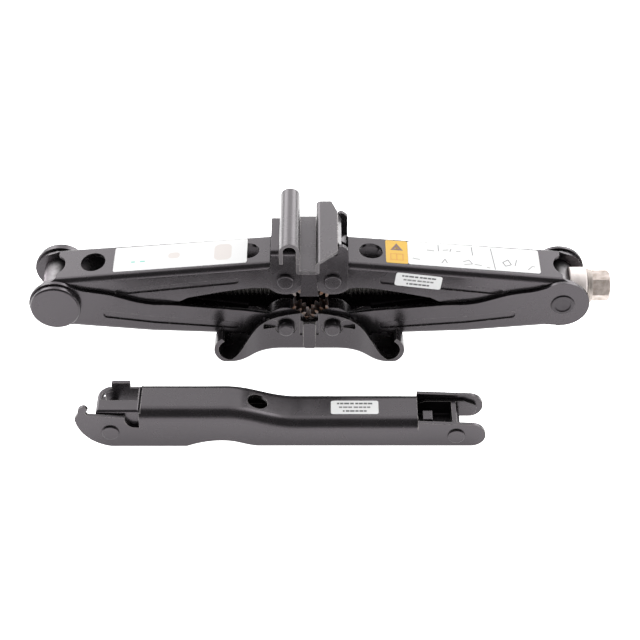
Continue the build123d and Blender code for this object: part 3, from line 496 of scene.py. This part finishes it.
def make_label(name, place, flip, backing, prints, body, looks):
    """A thin stuck-on label: backing outlines (look, outline) with flat prints lying on them."""
    points, faces, indices, used = [], [], [], []

    def index_of(look):
        if look not in used:
            used.append(look)
        return used.index(look)

    def add_face(ring, look):
        faces.append(tuple(reversed(ring)) if flip else tuple(ring))
        indices.append(index_of(look))

    for look, shape in backing:
        base = len(points)
        count = len(shape)
        points.extend(place(x, y, LABEL_LIFT) for x, y in shape)
        points.extend(place(x, y, LABEL_THICK) for x, y in shape)
        add_face(range(base + count, base + 2 * count), look)
        add_face(tuple(reversed(range(base, base + count))), look)
        for step in range(count):
            after = (step + 1) % count
            add_face((base + step, base + after, base + count + after, base + count + step), look)
    for look, shape in prints:
        base = len(points)
        points.extend(place(x, y, LABEL_THICK + PRINT_LIFT) for x, y in shape)
        add_face(range(base, base + len(shape)), look)
    made = new_object(name, points, faces, [looks[look] for look in used], indices)
    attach(made, body)


def dashes(x_low, x_high, y, height, pattern, look):
    """A row of short bars that stands for a line of small print."""
    prints = []
    x = x_low
    for number, length in enumerate(pattern):
        if x + length > x_high:
            break
        if number % 2 == 0:
            prints.append((look, bar(x, y - height / 2, x + length, y + height / 2)))
        x += length
    return prints


# ---- the right label's square and panel, along the arm ----
SQUARE_LOW = 35.0
SQUARE_HIGH = 50.2
PANEL_LOW = 50.3
PANEL_HIGH = 142.0

# ---- the panel's drawings: look, width and corners, laid out on a panel from DRAWN_LOW to DRAWN_HIGH ----
DRAWN_LOW = 52.7
DRAWN_HIGH = 147.0
PANEL_DRAWINGS = (
    ("print_grey", RULED_LINE, ((74.8, 5.0), (74.8, 12.0))),
    ("print_grey", RULED_LINE, ((99.2, 3.0), (98.8, 12.2))),
    ("print_grey", RULED_LINE, ((114.6, -11.2), (112.6, 12.2))),
    ("print_pale", BOLD_LINE, ((66.6, 5.4), (71.6, 5.0))),
    ("print_pale", FINE_LINE, ((78.0, 6.4), (82.0, 7.2))),
    ("print_pale", FINE_LINE, ((83.0, 5.4), (84.0, 8.4))),
    ("print_pale", FINE_LINE, ((56.0, -4.8), (61.0, -5.8))),
    ("print_pale", FINE_LINE, ((76.6, -8.0), (79.0, -3.4), (80.6, -7.6))),
    ("print_pale", FINE_LINE, ((92.0, -4.8), (96.2, -2.6), (98.6, -6.6), (92.6, -7.8))),
    ("print_pale", FINE_LINE, ((100.0, -6.8), (105.0, -7.6))),
    ("print_pale", FINE_LINE, ((108.6, -9.2), (111.0, -9.6))),
    ("print_pale", FINE_LINE, ((87.6, 6.2), (90.6, 6.6))),
    ("print_grey", FINE_LINE, ((120.4, -2.4), (124.4, 0.8), (126.4, -4.4), (122.2, -6.4), (120.4, -2.4))),
    ("print_pale", FINE_LINE, ((129.0, -5.4), (130.6, 1.4))),
    ("print_pale", FINE_LINE, ((138.2, -8.6), (141.6, -4.4), (143.4, -5.0))),
)


def fitted(x):
    """A place along the drawn panel carried to the panel on the arm, to a tenth of a millimetre."""
    share = (x - DRAWN_LOW) / (DRAWN_HIGH - DRAWN_LOW)
    return round(PANEL_LOW + share * (PANEL_HIGH - PANEL_LOW), 1)


def panel_prints():
    """The panel's line drawings, one stroke for each straight stretch."""
    prints = []
    for look, width, corners in PANEL_DRAWINGS:
        for (x0, y0), (x1, y1) in zip(corners, corners[1:]):
            prints.append((look, stroke(fitted(x0), y0, fitted(x1), y1, width)))
    return prints


def square_prints():
    """A plain triangle with a hole over a frame that an upright halves."""
    prints = [
        ("print_dark", [(38.2, 2.6), (47.0, 2.6), (42.6, 10.4)]),
        ("label_yellow", [(41.0, 4.0), (44.2, 4.0), (42.6, 6.9)]),
    ]
    low_x = SQUARE_LOW + 3.0
    high_x = SQUARE_HIGH - 3.0
    low_y = -8.4
    high_y = -1.0
    for y in (low_y, high_y - FRAME_LINE):
        prints.append(("print_amber", bar(low_x, y, high_x, y + FRAME_LINE)))
    for x in (low_x, low_x + 4.1, high_x - FRAME_LINE):
        prints.append(("print_amber", bar(x, low_y, x + FRAME_LINE, high_y)))
    return prints


def right_web_label(looks):
    """Yellow square with a plain triangle, then a long white panel of faint line drawings."""
    backing = [
        ("label_yellow", rounded(SQUARE_LOW, -11.6, SQUARE_HIGH, 13.4, 1.2)),
        ("label_white", rounded(PANEL_LOW, -11.8, PANEL_HIGH, 14.2, 1.8)),
    ]
    prints = square_prints() + panel_prints()
    make_label("right_arm_label", on_upper_web(1), False, backing, prints, "upper_right", looks)


def left_web_label(looks):
    """Nearly blank white label that covers half of the round hole."""
    backing = [("label_white", rounded(25.0, -12.9, 117.5, 13.9, 1.6))]
    prints = dashes(95.8, 108.8, -3.4, 1.2, (3.4, 3.6, 2.6), "print_cyan")
    prints += [
        ("print_pink", rounded(35.8, -8.0, 47.8, 9.4, 4.0)),
        ("print_pink", rounded(71.8, -2.4, 79.8, 4.0, 2.6)),
    ]
    make_label("left_arm_label", on_upper_web(-1), True, backing, prints, "upper_left", looks)


STICKER_ROWS = (
    (1.6, 0.5, 2.2, 0.5, 3.4, 0.6, 2.4, 1.0, 2.0, 0.4, 2.6, 0.5, 2.4, 0.4, 3.0),
    (2.2, 0.5, 3.0, 0.4, 2.6, 1.0, 3.0, 0.5, 2.4, 0.5, 2.0, 0.5, 2.2),
    (1.2, 0.8, 2.4, 0.4, 3.0, 0.5, 2.2, 0.5, 2.6, 0.4, 1.8),
)


def sticker_prints(x_low, y_low, x_high, y_high):
    """Three rows of small bars on a sticker."""
    prints = []
    height = y_high - y_low
    for number, pattern in enumerate(STICKER_ROWS):
        y = y_high - height * (0.22 + 0.28 * number)
        look = "print_pale" if number == 1 else "print_grey"
        start = (x_low + x_high - sum(pattern)) / 2
        prints += dashes(start, x_high - 1, y, height * 0.12, pattern, look)
    return prints


def make_sticker(name, place, box, body, looks):
    """A small white sticker with its prints, on a box of low x, low y, high x and high y."""
    backing = [("label_white", rounded(*box, STICKER_CORNER))]
    make_label(name, place, False, backing, sticker_prints(*box), body, looks)


def make_stickers(looks):
    """The two small white stickers, on the right upper arm's front and on the crank's grip."""
    make_sticker("arm_sticker", on_upper_flange, ARM_STICKER, "upper_right", looks)
    make_sticker("grip_sticker", on_grip_web, GRIP_STICKER, "handle", looks)


# ======================= floor, light and camera =======================

def make_floor():
    """Bright white sweep that washes out nearly all shadow."""
    half = FLOOR_HALF
    z = -FLOOR_DROP * MM
    corners = [(-half, -half, z), (half, -half, z), (half, half, z), (-half, half, z)]
    material, _, shader = new_material("white_floor", (0.85, 0.85, 0.85), 0.8)
    shader.inputs["Emission Color"].default_value = (1, 1, 1, 1)
    shader.inputs["Emission Strength"].default_value = FLOOR_GLOW
    floor = new_object("floor", corners, [(0, 1, 2, 3)], [material])


def share_between(tree, value, edge):
    """0 below the edge's first value, 1 above its second and a smooth climb between."""
    node = tree.nodes.new("ShaderNodeMapRange")
    node.interpolation_type = "SMOOTHSTEP"
    node.inputs["From Min"].default_value = edge[0]
    node.inputs["From Max"].default_value = edge[1]
    tree.links.new(value, node.inputs["Value"])
    return node.outputs["Result"]


def towards(tree, level, share, goal):
    """A light level moved towards a goal by a share from 0 to 1."""
    lifted = combine(tree, "MULTIPLY", share, goal)
    kept = combine(tree, "SUBTRACT", level, combine(tree, "MULTIPLY", level, share))
    return combine(tree, "ADD", kept, lifted)


def make_light():
    """White room: level with the jack all white, dark above the front, bright panels above the back."""
    world = bpy.data.worlds.new("white_room")
    world.use_nodes = True
    tree = world.node_tree
    background = tree.nodes["Background"]
    background.inputs["Color"].default_value = (1, 1, 1, 1)
    direction = tree.nodes.new("ShaderNodeTexCoord")
    split = tree.nodes.new("ShaderNodeSeparateXYZ")
    tree.links.new(direction.outputs["Generated"], split.inputs["Vector"])
    x, y, z = (split.outputs[axis] for axis in "XYZ")
    up = share_between(tree, z, UP_EDGE)
    forwards = share_between(tree, combine(tree, "MULTIPLY", y, -1.0), FRONT_EDGE)
    front = combine(tree, "MULTIPLY", up, forwards)
    back = combine(tree, "MULTIPLY", up, share_between(tree, y, BACK_EDGE))
    high = combine(tree, "MULTIPLY", back, share_between(tree, z, HIGH_EDGE))
    sideways = share_between(tree, combine(tree, "ABSOLUTE", x, 0.0), SIDE_EDGE)
    sides = combine(tree, "MULTIPLY", back, sideways)
    plain_level = tree.nodes.new("ShaderNodeValue")
    plain_level.outputs["Value"].default_value = WORLD_LEVEL
    level = towards(tree, plain_level.outputs["Value"], back, BACK_LEVEL)
    level = towards(tree, level, high, HIGH_LEVEL)
    level = towards(tree, level, sides, SIDE_LEVEL)
    level = towards(tree, level, front, FRONT_LEVEL)
    tree.links.new(level, background.inputs["Strength"])
    bpy.context.scene.world = world


def make_camera():
    """The camera, a little above and in front."""
    data = bpy.data.cameras.new("camera")
    data.lens = CAMERA_LENS
    data.sensor_width = 36
    data.clip_start = 0.05
    data.clip_end = 20
    camera = bpy.data.objects.new("camera", data)
    camera.location = CAMERA_PLACE
    camera.rotation_euler = (math.radians(CAMERA_TILT), 0, 0)
    bpy.context.scene.collection.objects.link(camera)
    bpy.context.scene.camera = camera


def main():
    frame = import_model()
    looks = make_materials()
    paint_nodes(frame["nodes"], looks)
    make_lead_screw(looks)
    right_web_label(looks)
    left_web_label(looks)
    make_stickers(looks)
    make_floor()
    make_light()
    make_camera()
    bpy.context.scene.view_settings.view_transform = "Standard"


main()
